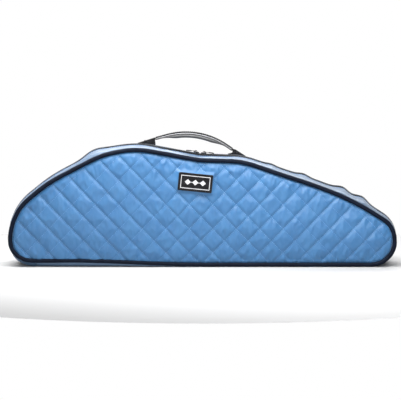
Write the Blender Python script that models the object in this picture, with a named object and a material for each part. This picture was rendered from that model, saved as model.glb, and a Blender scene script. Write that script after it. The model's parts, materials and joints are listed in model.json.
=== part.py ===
"""Padded slip-over gig bag for a contoured violin case.

The bag stands on its long flat edge.  +X is to the right, -Y is the front,
+Z is up, and the origin is on the floor under the middle of the bag.
Each half is a quilted panel, a layer of foam and a lining, with a piped edge
and half of the gusset.  The halves part along the zip and hinge on the base.
"""
import math

import bmesh
import bpy
from mathutils import Matrix, Vector

MM = 0.001

# ---- driving dimensions (mm) -------------------------------------------
GAP = 0.3                   # air between touching pieces
OPEN_GAP = 0.15             # half of the air between the two halves

# The front outline is straight between these corners, anticlockwise, and each
# corner (x, z) is rounded on its own radius.
OUTLINE_CORNERS = (
    (387.0, 0.0, 51.0),         # lower right end
    (387.0, 83.0, 52.0),        # neck end
    (290.0, 144.5, 600.0),      # shoulder of the neck end
    (80.0, 214.5, 150.0),       # foot of the long slope
    (-6.0, 217.5, 60.0),        # the saddle under the handle
    (-162.0, 246.0, 190.0),     # crown
    (-300.0, 177.5, 300.0),     # left slope
    (-387.0, 108.0, 110.0),     # left end
    (-387.0, 0.0, 54.0),        # lower left end
)
SADDLE_CORNER = 4           # index of the saddle among the corners
ARC_STEP = 12.0             # degrees between points on the tight arcs
LONG_STEP = 60.0            # longest chord on the wide arcs
HUB = (0.0, 100.0)          # x, z that the panel crowns shrink towards
SHOULDER_SHARE = 0.9        # size of a panel's shoulder loop
CROWN_SHARE = 0.8           # size of its flat crown
SHOULDER_RISE = 0.7         # share of the crown's height at the shoulder

SEAM_Y = 64.0               # piping, from the middle plane
PIPING_IN_PLANE = 4.5
PIPING_IN_DEPTH = 3.6
PIPING_SIDES = 8
PANEL_INSET = 9.3
PANEL_THICK = 2.5
PANEL_RIM_Y = 65.0
FRONT_CROWN_Y = 72.5
BACK_CROWN_Y = 75.0
FOAM_INSET = 11.0
FOAM_FLAT_Y = 59.0
LINING_THICK = 1.0
LINING_EDGE_Y = FOAM_FLAT_Y - 2.0 * GAP - LINING_THICK

GUSSET_BULGE = 6.0          # how far the zip stands outside the piping
GUSSET_DIP = 1.5            # how far the gusset starts inside it
BULGE_TURN = 45.0           # degrees of turn over which the bulge grows
ZIP_SHARE = 0.85            # the zip covers where the bulge is over this share
GUSSET_ROUNDNESS = 0.6      # power of the section's cosine
GUSSET_THICK = 2.5
GUSSET_FOAM = 5.0
GUSSET_EDGE_Y = 60.1
TAPE_EDGE_Y = 15.5
GUSSET_FOLDS = (TAPE_EDGE_Y + GAP, 35.0, 50.0, GUSSET_EDGE_Y)
TAPE_THICK = 1.2
TAPE_SINK = 0.2             # tape's face under the gusset's
COIL_EDGE_Y = 2.9
COIL_TOP = 0.6              # above the tape
COIL_THICK = 2.4
BASE_FOAM_GAP = 1.0
TONGUE_THICK = 2.0
TONGUE_STEP = 0.3           # the tongue's outside lies under the gusset's

HANDLE_Y = 28.0
HANDLE_WIDTH = 22.0
HANDLE_END_WIDTH = 13.0
HANDLE_START = (-95.0, 256.8)
HANDLE_RISE = 15.0          # degrees, at the left end
HANDLE_FALL = 34.0          # degrees, at the right end
HANDLE_RADIUS = 150.0
HANDLE_LEFT_RUN = 23.0
HANDLE_RIGHT_RUN = 14.0
HANDLE_AXIS_DEPTH = 3.0     # tilt axis, under the strap's top face
HANDLE_ARC_POINTS = 10
TAPER_START = 0.056         # share of the span where the handle starts to swell
TAPER_END = 0.28            # share of the span where it is at full size
GRIP_UNDERSIDE = 0.72       # width of the grip's underside against its top
CORE_INSET = 0.5            # core's edge inside the strap's
STRAP_THICK = 2.2
CORE_THICK = 1.4
GRIP_END_THICK = 2.0
GRIP_THICK = 9.0
FOOT_WIDTH = 20.0
FOOT_GAP = 0.5
FOOT_TOE = 1.0              # height of a foot's outer edge
FOOT_POINTS = 5             # points along a foot's underside
# Each foot's outer and inner end and its crest, from the strap's end (x, z).
LEFT_FOOT_ENDS = (-37.0, -1.2)
LEFT_FOOT_CREST = ((-25.0, -8.5), (-13.0, -4.5), (-1.5, -1.0), (-2.0, -8.0))
RIGHT_FOOT_ENDS = (27.0, -10.0)
RIGHT_FOOT_CREST = ((7.0, -4.0), (0.6, -2.0), (-0.2, -9.0), (-1.0, -10.5))

SLIDER_LENGTH = 12.0
SLIDER_WIDTH = 9.0
SLIDER_SPACING = 16.0
SLIDER_PLATE = 1.8
SLIDER_NOSE = 0.55          # width of the plate's nose against its middle
SLIDER_TAIL = 0.8           # and of its tail
SLIDER_WIDEST = 0.3         # where it is widest, in half lengths
BAIL_X = 1.0                # the bail's middle, from the slider's
BAIL_INNER = 1.5            # half of the opening under the bail
BAIL_OUTER = 2.6            # half of its length
BAIL_HALF = 1.3             # half of its width
BAIL_HEIGHT = 3.2
BAIL_WIRE = 0.9
BAIL_SINK = 0.3             # depth of the bail's posts in the plate
HINGE_AIR = 0.35            # between the pull's plate and the bail
PULL_LENGTH = 20.0
PULL_WIDTH = 6.0
PULL_PLATE = 0.9
PULL_THICK = 1.4
PULL_DROOP = 7.0            # degrees
PULL_BACK = 1.2             # length of the eye behind the hinge
PULL_EYE = 4.3              # and in front of it
PULL_STEM = 9.0             # where the grip starts
STEM_HALF = 1.9
WINDOW_BACK = 0.45          # the eye's window behind the hinge
WINDOW_RIM = 1.0
WINDOW_HALF = 1.75
PULL_GRIP_HALF = 2.4
STOP_LENGTH = (0.4, 3.4)    # a zip stop's ends, past the last tooth
STOP_HEIGHT = (0.1, 1.6)
STOP_WIDTH = (0.4, 4.0)

LABEL_CENTRE = (-14.2, 169.0)
LABEL_SIZE = (68.0, 36.0)
LABEL_TURN = -5.7           # degrees, clockwise seen from the front
LABEL_THICK = 1.6
LABEL_MARGIN = 5.0
MARK_THICK = 0.3
MARK_LINE = 1.2             # width of the frame's line
DIAMOND_HALF = 5.5
DIAMOND_PITCH = 15.0
DIAMOND_BAR = 0.5           # half height of the links between diamonds

# Colour, roughness and metallic value of each material.
LOOKS = {
    "quilted_nylon": ((0.16, 0.36, 0.68, 1.0), 0.6, 0.0),
    "plain_nylon": ((0.36, 0.53, 0.76, 1.0), 0.5, 0.0),
    "piping": ((0.01, 0.015, 0.03, 1.0), 0.7, 0.0),
    "foam": ((0.55, 0.56, 0.58, 1.0), 0.9, 0.0),
    "lining": ((0.30, 0.32, 0.35, 1.0), 0.8, 0.0),
    "zip_tape": ((0.02, 0.02, 0.022, 1.0), 0.85, 0.0),
    "zip_coil": ((0.02, 0.02, 0.022, 1.0), 0.4, 0.0),
    "zip_metal": ((0.08, 0.08, 0.085, 1.0), 0.35, 0.8),
    "webbing": ((0.02, 0.02, 0.022, 1.0), 0.8, 0.0),
    "handle_edge": ((0.75, 0.75, 0.76, 1.0), 0.5, 0.0),
    "grip": ((0.22, 0.22, 0.23, 1.0), 0.45, 0.0),
    "foot_fabric": ((0.02, 0.02, 0.022, 1.0), 0.85, 0.0),
    "label": ((0.02, 0.02, 0.022, 1.0), 0.6, 0.0),
    "label_thread": ((0.75, 0.75, 0.76, 1.0), 0.6, 0.0),
    "rubber": ((0.02, 0.02, 0.022, 1.0), 0.6, 0.0),
}


# ---- scene and materials ------------------------------------------------
def clear_scene():
    for obj in list(bpy.data.objects):
        bpy.data.objects.remove(obj, do_unlink=True)


def look(name):
    """The material of this name, made on first use."""
    found = bpy.data.materials.get(name)
    if found:
        return found
    colour, roughness, metallic = LOOKS[name]
    made = bpy.data.materials.new(name)
    made.use_nodes = True
    shader = made.node_tree.nodes["Principled BSDF"]
    shader.inputs["Base Color"].default_value = colour
    shader.inputs["Roughness"].default_value = roughness
    shader.inputs["Metallic"].default_value = metallic
    return made


def finish_object(name, mesh_builder, surface, parent=None):
    """Turn a bmesh in millimetres into a named object in metres."""
    bmesh.ops.recalc_face_normals(mesh_builder, faces=mesh_builder.faces)
    bmesh.ops.scale(mesh_builder, vec=(MM, MM, MM), verts=mesh_builder.verts)
    mesh = bpy.data.meshes.new(name)
    mesh_builder.to_mesh(mesh)
    mesh_builder.free()
    mesh.shade_smooth()
    mesh.set_sharp_from_angle(angle=math.radians(35.0))
    mesh.materials.append(surface)
    obj = bpy.data.objects.new(name, mesh)
    bpy.context.collection.objects.link(obj)
    obj.parent = parent
    return obj


def pivot(name, place_mm):
    """An empty on a joint's axis."""
    empty = bpy.data.objects.new(name, None)
    empty.location = Vector(place_mm) * MM
    bpy.context.collection.objects.link(empty)
    return empty


# ---- outline ------------------------------------------------------------
def normal_of(angle):
    return math.cos(math.radians(angle)), math.sin(math.radians(angle))


def direction_of(start, end):
    """Angle of the line from one corner to the next, in degrees, 0 to 360."""
    return math.degrees(math.atan2(end[1] - start[1], end[0] - start[0])) % 360.0


def round_outline():
    """Points (x, z, normal angle) from the base's right end to its left end."""
    points = []
    saddle_end = None
    count = len(OUTLINE_CORNERS)
    for index, (x, z, radius) in enumerate(OUTLINE_CORNERS):
        before = OUTLINE_CORNERS[index - 1]
        after = OUTLINE_CORNERS[(index + 1) % count]
        heading = direction_of(before, (x, z))
        turn = (direction_of((x, z), after) - heading + 180.0) % 360.0 - 180.0
        start = heading - 90.0
        reach = radius * math.tan(math.radians(abs(turn)) / 2.0)
        run_x, run_z = normal_of(heading)
        bend = math.copysign(radius, turn)
        out_x, out_z = normal_of(start)
        hub_x = x - run_x * reach - bend * out_x
        hub_z = z - run_z * reach - bend * out_z
        length = math.radians(abs(turn)) * radius
        steps = max(1, math.ceil(abs(turn) / ARC_STEP), math.ceil(length / LONG_STEP))
        for part in range(steps + 1):
            at = start + turn * part / steps
            out_x, out_z = normal_of(at)
            points.append((hub_x + bend * out_x, max(0.0, hub_z + bend * out_z), at))
        if index == SADDLE_CORNER:
            saddle_end = len(points) - 1
    points = [(x, z, angle - 360.0 if angle > 275.0 else angle) for x, z, angle in points]
    return points, saddle_end


OUTLINE, SADDLE_END = round_outline()
BASE_RIGHT = OUTLINE[0][0]
BASE_LEFT = OUTLINE[-1][0]


def bulge_share(angle):
    """0 on the flat base, 1 all round the zip, smooth between."""
    turn = min(angle + 90.0, 270.0 - angle) / BULGE_TURN
    turn = min(1.0, max(0.0, turn))
    return turn * turn * (3.0 - 2.0 * turn)


def crown_of(y):
    """Height of the gusset's round section, from 0 at the piping to 1 at the zip."""
    across = min(1.0, abs(y) / GUSSET_EDGE_Y)
    return max(0.0, math.cos(across * math.pi / 2.0)) ** GUSSET_ROUNDNESS


def gusset_out(y, angle):
    """How far the gusset's outside stands from the outline, straight between folds."""
    y = abs(y)
    near, far = 0.0, GUSSET_FOLDS[0]
    for low, high in zip(GUSSET_FOLDS, GUSSET_FOLDS[1:]):
        if y >= low:
            near, far = low, high
    share = min(1.0, (y - near) / (far - near))
    rise = crown_of(near) + (crown_of(far) - crown_of(near)) * share
    return (-GUSSET_DIP + (GUSSET_BULGE + GUSSET_DIP) * rise) * bulge_share(angle)


def offset_point(point, out):
    x, z, angle = point
    nx, nz = normal_of(angle)
    return x + nx * out, z + nz * out


def outline_z(x, out):
    """Height of the top of the outline at this x, plus an outward offset."""
    upper = [p for p in OUTLINE if 0.0 <= p[2] <= 180.0]
    for right, left in zip(upper, upper[1:]):
        if left[0] <= x <= right[0]:
            share = (x - left[0]) / (right[0] - left[0])
            rx, rz = offset_point(right, out)
            lx, lz = offset_point(left, out)
            return lz + (rz - lz) * share
    raise ValueError("x is outside the outline")


# ---- shape builders -----------------------------------------------------
def add_quad(mesh, a, b, c, d):
    """Two triangles; neighbouring layers fold along the same diagonal."""
    if abs(a.co.y) <= abs(b.co.y) + 1e-6:
        triangles = ((a, b, c), (a, c, d))
    else:
        triangles = ((a, b, d), (b, c, d))
    for corners in triangles:
        mesh.faces.new(corners)


def bridge_rings(mesh, rings, closed):
    """Faces between rings of the same length; end caps unless closed."""
    count = len(rings[0])
    pairs = list(zip(rings, rings[1:]))
    if closed:
        pairs.append((rings[-1], rings[0]))
    for low, high in pairs:
        for i in range(count):
            j = (i + 1) % count
            add_quad(mesh, low[i], low[j], high[j], high[i])
    if not closed:
        mesh.faces.new(rings[0])
        mesh.faces.new(list(reversed(rings[-1])))


def ring_strip(section, stations=None, closed=False):
    """Sweep section(angle) -> [(out, y)] along the outline."""
    mesh = bmesh.new()
    rings = []
    for point in stations or OUTLINE:
        ring = []
        for out, y in section(point[2]):
            x, z = offset_point(point, out)
            ring.append(mesh.verts.new((x, y, z)))
        rings.append(ring)
    bridge_rings(mesh, rings, closed)
    return mesh


def shrunk_loop(inset, share):
    loop = []
    for point in OUTLINE:
        x, z = offset_point(point, -inset)
        loop.append((HUB[0] + (x - HUB[0]) * share, HUB[1] + (z - HUB[1]) * share))
    return loop


def stacked_plate(loops, side):
    """Solid from [(inset, share, y)] loops, capped at both ends."""
    mesh = bmesh.new()
    rings = []
    for inset, share, y in loops:
        ring = [mesh.verts.new((x, side * y, z)) for x, z in shrunk_loop(inset, share)]
        rings.append(ring)
    bridge_rings(mesh, rings, closed=False)
    return mesh


def box_mesh(x0, x1, y0, y1, z0, z1):
    mesh = bmesh.new()
    size = (x1 - x0, y1 - y0, z1 - z0)
    centre = ((x0 + x1) / 2.0, (y0 + y1) / 2.0, (z0 + z1) / 2.0)
    matrix = Matrix.Translation(centre) @ Matrix.Diagonal((*size, 1.0))
    bmesh.ops.create_cube(mesh, size=1.0, matrix=matrix)
    return mesh


def prism_mesh(profile, y0, y1):
    """Solid between y0 and y1 with the given x, z profile."""
    mesh = bmesh.new()
    rings = [[mesh.verts.new((x, y, z)) for x, z in profile] for y in (y0, y1)]
    bridge_rings(mesh, rings, closed=False)
    return mesh


# ---- one half of the bag ------------------------------------------------
def panel_pieces(side, word, crown):
    """Quilted panel, foam and lining; side is -1 at the front, 1 at the back."""
    rim_step = (crown - PANEL_RIM_Y) * SHOULDER_RISE
    shoulder = PANEL_RIM_Y + rim_step
    inner = PANEL_THICK
    panel = stacked_plate((
        (PANEL_INSET, 1.0, PANEL_RIM_Y - inner), (PANEL_INSET, 1.0, PANEL_RIM_Y),
        (PANEL_INSET, SHOULDER_SHARE, shoulder), (PANEL_INSET, CROWN_SHARE, crown)), side)
    hollow = stacked_plate((
        (PANEL_INSET, 1.0, PANEL_RIM_Y - inner), (PANEL_INSET, SHOULDER_SHARE, shoulder - inner),
        (PANEL_INSET, CROWN_SHARE, crown - inner)), side)
    panel = replace_cap(panel, hollow, side * (PANEL_RIM_Y - inner))
    finish_object(word + "_panel", panel, look("quilted_nylon"))

    air = inner + GAP
    foam = stacked_plate((
        (FOAM_INSET, 1.0, FOAM_FLAT_Y), (FOAM_INSET, 1.0, PANEL_RIM_Y - air),
        (FOAM_INSET, SHOULDER_SHARE, shoulder - air), (FOAM_INSET, CROWN_SHARE, crown - air)), side)
    finish_object(word + "_foam", foam, look("foam"))

    lining_y = FOAM_FLAT_Y - GAP
    lining = stacked_plate((
        (FOAM_INSET, 1.0, lining_y - LINING_THICK), (FOAM_INSET, 1.0, lining_y)), side)
    finish_object(word + "_lining", lining, look("lining"))


def replace_cap(shell, hollow, cap_y):
    """Join a crowned skin's outside to its inside, dropping both caps at cap_y."""
    for mesh in (shell, hollow):
        caps = [f for f in mesh.faces if len(f.verts) > 4
                and all(abs(v.co.y - cap_y) < 1e-4 for v in f.verts)]
        bmesh.ops.delete(mesh, geom=caps, context="FACES_ONLY")
    spare = bpy.data.meshes.new("spare")
    hollow.to_mesh(spare)
    hollow.free()
    shell.from_mesh(spare)
    bpy.data.meshes.remove(spare)
    bmesh.ops.remove_doubles(shell, verts=shell.verts, dist=1e-4)
    return shell


def piping_piece(side, word):
    grow = 1.0 / math.cos(math.pi / PIPING_SIDES)

    def section(angle):
        points = []
        for i in range(PIPING_SIDES):
            a = 2.0 * math.pi * (i + 0.5) / PIPING_SIDES
            out = -PIPING_IN_PLANE * (1.0 - math.cos(a) * grow)
            points.append((out, side * SEAM_Y + PIPING_IN_DEPTH * math.sin(a) * grow))
        return points

    mesh = ring_strip(section, closed=True)
    finish_object(word + "_piping", mesh, look("piping"))


def layered_section(side, y_values, start_depth, thick):
    """Section of one gusset layer between two depths under its outside."""
    def section(angle):
        outer = [(gusset_out(y, angle) - start_depth, side * y) for y in y_values]
        inner = [(out - thick, y) for out, y in reversed(outer)]
        return outer + inner
    return section


def gusset_pieces(side, word):
    """Gusset fabric, its foam and its lining, with folds at the same depths."""
    folds = GUSSET_FOLDS[::-1]
    outer = layered_section(side, folds, 0.0, GUSSET_THICK)
    finish_object(word + "_gusset", ring_strip(outer), look("plain_nylon"))

    depth = GUSSET_THICK + GAP
    foam = layered_section(side, folds, depth, GUSSET_FOAM)
    finish_object(word + "_gusset_foam", ring_strip(foam), look("foam"))

    depth += GUSSET_FOAM + GAP
    lining_folds = (LINING_EDGE_Y,) + folds[1:]
    lining = layered_section(side, lining_folds, depth, LINING_THICK)
    finish_object(word + "_gusset_lining", ring_strip(lining), look("lining"))


def zip_stations():
    return [p for p in OUTLINE if bulge_share(p[2]) > ZIP_SHARE]


def zip_pieces(side, word):
    """Half of the zip: a woven tape and a coil of teeth, round the whole opening."""
    stations = zip_stations()

    def tape(angle):
        share = bulge_share(angle)
        top = GUSSET_BULGE * share - TAPE_SINK
        edge = COIL_EDGE_Y + GAP
        return [(top, side * TAPE_EDGE_Y), (top, side * edge),
                (top - TAPE_THICK, side * edge), (top - TAPE_THICK, side * TAPE_EDGE_Y)]

    def coil(angle):
        top = GUSSET_BULGE * bulge_share(angle) + COIL_TOP
        return [(top, side * COIL_EDGE_Y), (top, side * OPEN_GAP),
                (top - COIL_THICK, side * OPEN_GAP), (top - COIL_THICK, side * COIL_EDGE_Y)]

    finish_object("zip_tape_" + word, ring_strip(tape, stations), look("zip_tape"))
    finish_object("zip_coil_" + word, ring_strip(coil, stations), look("zip_coil"))


def tongue_pieces(side, word):
    """The base fabric's ends, which turn up between the corners to meet the zip."""
    zipped = zip_stations()
    ends = {
        "right": [p for p in OUTLINE if p[2] <= zipped[0][2]],
        "left": [p for p in OUTLINE if p[2] >= zipped[-1][2]],
    }

    def tongue(angle):
        top = gusset_out(TAPE_EDGE_Y, angle) - TONGUE_STEP * bulge_share(angle)
        low = top - TONGUE_THICK
        return [(top, side * TAPE_EDGE_Y), (top, side * OPEN_GAP),
                (low, side * OPEN_GAP), (low, side * TAPE_EDGE_Y)]

    for end, stations in ends.items():
        trimmed = trim_ends(stations, GAP)
        mesh = ring_strip(tongue, trimmed)
        finish_object("base_tongue_" + end + "_" + word, mesh,
                      look("plain_nylon"))


def trim_ends(stations, cut):
    """Draw the first and last station in by a small length along the walk."""
    trimmed = list(stations)
    for end, inner in ((0, 1), (-1, -2)):
        (x, z, angle), (near_x, near_z, near_angle) = trimmed[end], trimmed[inner]
        share = cut / math.hypot(near_x - x, near_z - z)
        trimmed[end] = (x + (near_x - x) * share, z + (near_z - z) * share,
                        angle + (near_angle - angle) * share)
    return trimmed


def base_pieces(side, word):
    """The flat base between the two corners: fabric, foam and lining."""
    layers = (
        ("base_" + word, 0.0, GUSSET_THICK, "plain_nylon"),
        ("base_foam_" + word, GUSSET_THICK + GAP, GUSSET_FOAM, "foam"),
        ("base_lining_" + word, GUSSET_THICK + GUSSET_FOAM + 2.0 * GAP, LINING_THICK, "lining"),
    )
    x0, x1 = BASE_LEFT + GAP, BASE_RIGHT - GAP
    for name, low, thick, surface in layers:
        far_y = LINING_EDGE_Y if "lining" in name else GUSSET_EDGE_Y
        near_y = OPEN_GAP if name == "base_" + word else BASE_FOAM_GAP
        y0, y1 = sorted((side * near_y, side * far_y))
        mesh = box_mesh(x0, x1, y0, y1, low, low + thick)
        finish_object(name, mesh, look(surface))


def build_half(side, word, crown):
    panel_pieces(side, word, crown)
    piping_piece(side, word)
    gusset_pieces(side, word)
    zip_pieces(side, word)
    base_pieces(side, word)
    tongue_pieces(side, word)


# ---- label --------------------------------------------------------------
def label_transform():
    turn = Matrix.Rotation(math.radians(-LABEL_TURN), 4, "Y")
    place = Matrix.Translation((LABEL_CENTRE[0], 0.0, LABEL_CENTRE[1]))
    return place @ turn


def label_pieces():
    half_x, half_z = LABEL_SIZE[0] / 2.0, LABEL_SIZE[1] / 2.0
    back_y = -FRONT_CROWN_Y - GAP
    front_y = back_y - LABEL_THICK
    patch = box_mesh(-half_x, half_x, front_y, back_y, -half_z, half_z)
    bmesh.ops.transform(patch, matrix=label_transform(), verts=patch.verts)
    finish_object("label_patch", patch, look("label"))

    mark_back = front_y - GAP
    mark_front = mark_back - MARK_THICK
    frame_x, frame_z = half_x - LABEL_MARGIN, half_z - LABEL_MARGIN
    outer = [(-frame_x, -frame_z), (frame_x, -frame_z), (frame_x, frame_z), (-frame_x, frame_z)]
    inner = [(x - math.copysign(MARK_LINE, x), z - math.copysign(MARK_LINE, z)) for x, z in outer]
    loops = [(outer, mark_front), (outer, mark_back), (inner, mark_back), (inner, mark_front)]
    frame = bmesh.new()
    rings = [[frame.verts.new((x, y, z)) for x, z in loop] for loop, y in loops]
    bridge_rings(frame, rings, closed=True)

    half, bar = DIAMOND_HALF, DIAMOND_BAR
    row = (-DIAMOND_PITCH, 0.0, DIAMOND_PITCH)
    chain = []
    for centre in row:
        chain += [(centre - half, bar), (centre, half), (centre + half, bar)]
    chain += [(x, -z) for x, z in reversed(chain)]
    diamonds = prism_mesh(chain, mark_front, mark_back)

    for name, mesh in (("label_frame", frame), ("label_diamonds", diamonds)):
        bmesh.ops.transform(mesh, matrix=label_transform(), verts=mesh.verts)
        finish_object(name, mesh, look("label_thread"))


# ---- handle -------------------------------------------------------------
def handle_path():
    """Points (x, z, slope in degrees) along the strap's top face, left to right."""
    x, z = HANDLE_START
    slope = HANDLE_RISE
    points = [(x, z, slope)]
    for length in (HANDLE_LEFT_RUN / 2.0, HANDLE_LEFT_RUN / 2.0):
        x += length * math.cos(math.radians(slope))
        z += length * math.sin(math.radians(slope))
        points.append((x, z, slope))
    hub_x = x + HANDLE_RADIUS * math.sin(math.radians(slope))
    hub_z = z - HANDLE_RADIUS * math.cos(math.radians(slope))
    for part in range(1, HANDLE_ARC_POINTS + 1):
        at = HANDLE_RISE - (HANDLE_RISE + HANDLE_FALL) * part / HANDLE_ARC_POINTS
        points.append((hub_x - HANDLE_RADIUS * math.sin(math.radians(at)),
                       hub_z + HANDLE_RADIUS * math.cos(math.radians(at)), at))
    x, z, slope = points[-1]
    for length in (HANDLE_RIGHT_RUN / 2.0, HANDLE_RIGHT_RUN / 2.0):
        x += length * math.cos(math.radians(slope))
        z += length * math.sin(math.radians(slope))
        points.append((x, z, slope))
    return points


PATH = handle_path()
HANDLE_LEFT_PIVOT = (PATH[0][0], HANDLE_Y, PATH[0][1] - HANDLE_AXIS_DEPTH)


def path_shares():
    """0 at the ends, 1 over the middle, where the hand goes."""
    left, right = PATH[0][0], PATH[-1][0]
    shares = []
    for x, _, _ in PATH:
        along = (x - left) / (right - left)
        ramp = (min(along, 1.0 - along) - TAPER_START) / (TAPER_END - TAPER_START)
        ramp = min(1.0, max(0.0, ramp))
        shares.append(ramp * ramp * (3.0 - 2.0 * ramp))
    return shares


def strap_layer(top_depth, end_thick, mid_thick, narrower):
    """One layer of the handle, swept along the path under its top face."""
    mesh = bmesh.new()
    rings = []
    for (x, z, slope), share in zip(PATH, path_shares()):
        half = (HANDLE_END_WIDTH + (HANDLE_WIDTH - HANDLE_END_WIDTH) * share) / 2.0 - narrower
        thick = end_thick + (mid_thick - end_thick) * share
        up = (-math.sin(math.radians(slope)), math.cos(math.radians(slope)))
        ring = []
        trim = half * GRIP_UNDERSIDE if mid_thick > end_thick else half
        for y, depth in ((-half, top_depth), (half, top_depth),
                         (trim, top_depth + thick), (-trim, top_depth + thick)):
            ring.append(mesh.verts.new((x - up[0] * depth, HANDLE_Y + y, z - up[1] * depth)))
        rings.append(ring)
    bridge_rings(mesh, rings, closed=False)
    return mesh


def shift_to_parent(mesh, place):
    bmesh.ops.translate(mesh, verts=mesh.verts, vec=-Vector(place))
    return mesh


def handle_pieces():
    empty = pivot("handle_pivot", HANDLE_LEFT_PIVOT)
    core_depth = STRAP_THICK + GAP
    grip_depth = core_depth + CORE_THICK + GAP
    layers = (
        ("handle_strap", strap_layer(0.0, STRAP_THICK, STRAP_THICK, 0.0),
         look("webbing")),
        ("handle_core", strap_layer(core_depth, CORE_THICK, CORE_THICK, CORE_INSET),
         look("handle_edge")),
        ("handle_grip", strap_layer(grip_depth, GRIP_END_THICK, GRIP_THICK, 0.0),
         look("grip")),
    )
    for name, mesh, surface in layers:
        finish_object(name, shift_to_parent(mesh, HANDLE_LEFT_PIVOT), surface, empty)


def foot_piece(name, strap_end, ends, crest):
    """Fabric wedge that holds one strap end on the back gusset.

    ends and crest are x and x, z steps from the strap's end; the crest runs
    from the foot's outer end towards the handle's middle.
    """
    end_x, end_z = strap_end[:2]
    outer_x, inner_x = end_x + ends[0], end_x + ends[1]
    y_near = HANDLE_Y - FOOT_WIDTH / 2.0
    out = gusset_out(y_near, 90.0) + FOOT_GAP
    under = []
    for i in range(FOOT_POINTS):
        x = outer_x + (inner_x - outer_x) * i / (FOOT_POINTS - 1)
        under.append((x, outline_z(x, out)))
    top = [(outer_x, under[0][1] + FOOT_TOE)]
    top += [(end_x + x, end_z + z) for x, z in crest]
    top.append((inner_x, under[-1][1] + FOOT_TOE))
    mesh = prism_mesh(under + top[::-1], y_near, y_near + FOOT_WIDTH)
    finish_object(name, mesh, look("foot_fabric"))


def handle_feet():
    foot_piece("handle_foot_left", PATH[0], LEFT_FOOT_ENDS, LEFT_FOOT_CREST)
    foot_piece("handle_foot_right", PATH[-1], RIGHT_FOOT_ENDS, RIGHT_FOOT_CREST)


# ---- zip sliders --------------------------------------------------------
def slider_frame(direction):
    """Origin on the zip's outside, x along the zip away from the saddle."""
    right, left = OUTLINE[SADDLE_END - 1], OUTLINE[SADDLE_END]
    point = left if direction < 0 else right
    angle = point[2]
    arc = math.hypot(left[0] - right[0], left[1] - right[1])
    along = (SLIDER_SPACING - arc) / 2.0
    run_x, run_z = normal_of(angle - 90.0 * direction)
    x, z = offset_point(point, GUSSET_BULGE)
    place = Vector((x + run_x * along, 0.0, z + run_z * along))
    axis_x = Vector((run_x, 0.0, run_z))
    axis_z = Vector((normal_of(angle)[0], 0.0, normal_of(angle)[1]))
    axis_y = axis_z.cross(axis_x)
    turn = Matrix((axis_x, axis_y, axis_z)).transposed().to_4x4()
    return Matrix.Translation(place) @ turn


def slider_plate():
    """The slider's shield-shaped top plate."""
    half_l, half_w = SLIDER_LENGTH / 2.0, SLIDER_WIDTH / 2.0
    low = COIL_TOP + GAP
    side = [(-half_l, half_w * SLIDER_NOSE), (half_l * SLIDER_WIDEST, half_w),
            (half_l, half_w * SLIDER_TAIL)]
    outline = [(x, -y) for x, y in side] + side[::-1]
    mesh = bmesh.new()
    rings = [[mesh.verts.new((x, y, z)) for x, y in outline] for z in (low, low + SLIDER_PLATE)]
    bridge_rings(mesh, rings, closed=False)
    bmesh.ops.recalc_face_normals(mesh, faces=mesh.faces)
    return mesh


def bail_mesh():
    """The arch on the slider that the pull's eye hangs on."""
    foot = COIL_TOP + GAP + SLIDER_PLATE - BAIL_SINK
    top = foot + BAIL_SINK + BAIL_HEIGHT
    under = top - BAIL_WIRE
    arch = [(-BAIL_OUTER, foot), (-BAIL_INNER, foot), (-BAIL_INNER, under), (BAIL_INNER, under),
            (BAIL_INNER, foot), (BAIL_OUTER, foot), (BAIL_OUTER, top), (-BAIL_OUTER, top)]
    mesh = prism_mesh([(BAIL_X + x, z) for x, z in arch], -BAIL_HALF, BAIL_HALF)
    bmesh.ops.recalc_face_normals(mesh, faces=mesh.faces)
    return mesh


def build_slider(word, direction):
    frame = slider_frame(direction)
    place = frame.to_translation()
    empty = pivot("slider_pivot_" + word, place)
    plate, bail = slider_plate(), bail_mesh()
    for part in (plate, bail):
        bmesh.ops.transform(part, matrix=Matrix.Translation(-place) @ frame, verts=part.verts)
    body = finish_object("zip_slider_" + word, plate, look("zip_metal"), empty)
    guide = finish_object("bail_cutter_" + word, bail, look("zip_metal"), empty)
    guide.hide_render = True
    guide.display_type = "WIRE"
    join = body.modifiers.new("bail", "BOOLEAN")
    join.operation = "UNION"
    join.solver = "EXACT"
    join.object = guide
    build_pull(word, frame)


def build_pull(word, frame):
    """Flat pull with an eye on the bail, lying along the zip."""
    bail_under = COIL_TOP + GAP + SLIDER_PLATE + BAIL_HEIGHT - BAIL_WIRE
    hinge = Vector((BAIL_X, 0.0, bail_under - PULL_PLATE / 2.0 - HINGE_AIR))
    place = frame @ hinge
    empty = pivot("pull_pivot_" + word, place)
    droop = Matrix.Rotation(math.radians(PULL_DROOP), 4, "Y")
    turned = Matrix.Translation(-place) @ frame @ Matrix.Translation(hinge) @ droop
    half = PULL_WIDTH / 2.0
    outline = [(-PULL_BACK, -half), (PULL_EYE, -half), (PULL_STEM, -STEM_HALF),
               (PULL_STEM, STEM_HALF), (PULL_EYE, half), (-PULL_BACK, half)]
    far = PULL_EYE - WINDOW_RIM
    window = [(-WINDOW_BACK, -WINDOW_HALF), (far, -WINDOW_HALF),
              (far, WINDOW_HALF), (-WINDOW_BACK, WINDOW_HALF)]
    plate = window_plate(outline, window, PULL_PLATE)
    bmesh.ops.transform(plate, matrix=turned, verts=plate.verts)
    finish_object("zip_pull_" + word, plate, look("zip_metal"), empty)
    grip = box_mesh(PULL_STEM + GAP, PULL_LENGTH, -PULL_GRIP_HALF, PULL_GRIP_HALF,
                    -PULL_THICK / 2.0, PULL_THICK / 2.0)
    bmesh.ops.transform(grip, matrix=turned, verts=grip.verts)
    finish_object("pull_grip_" + word, grip, look("rubber"), empty)


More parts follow.
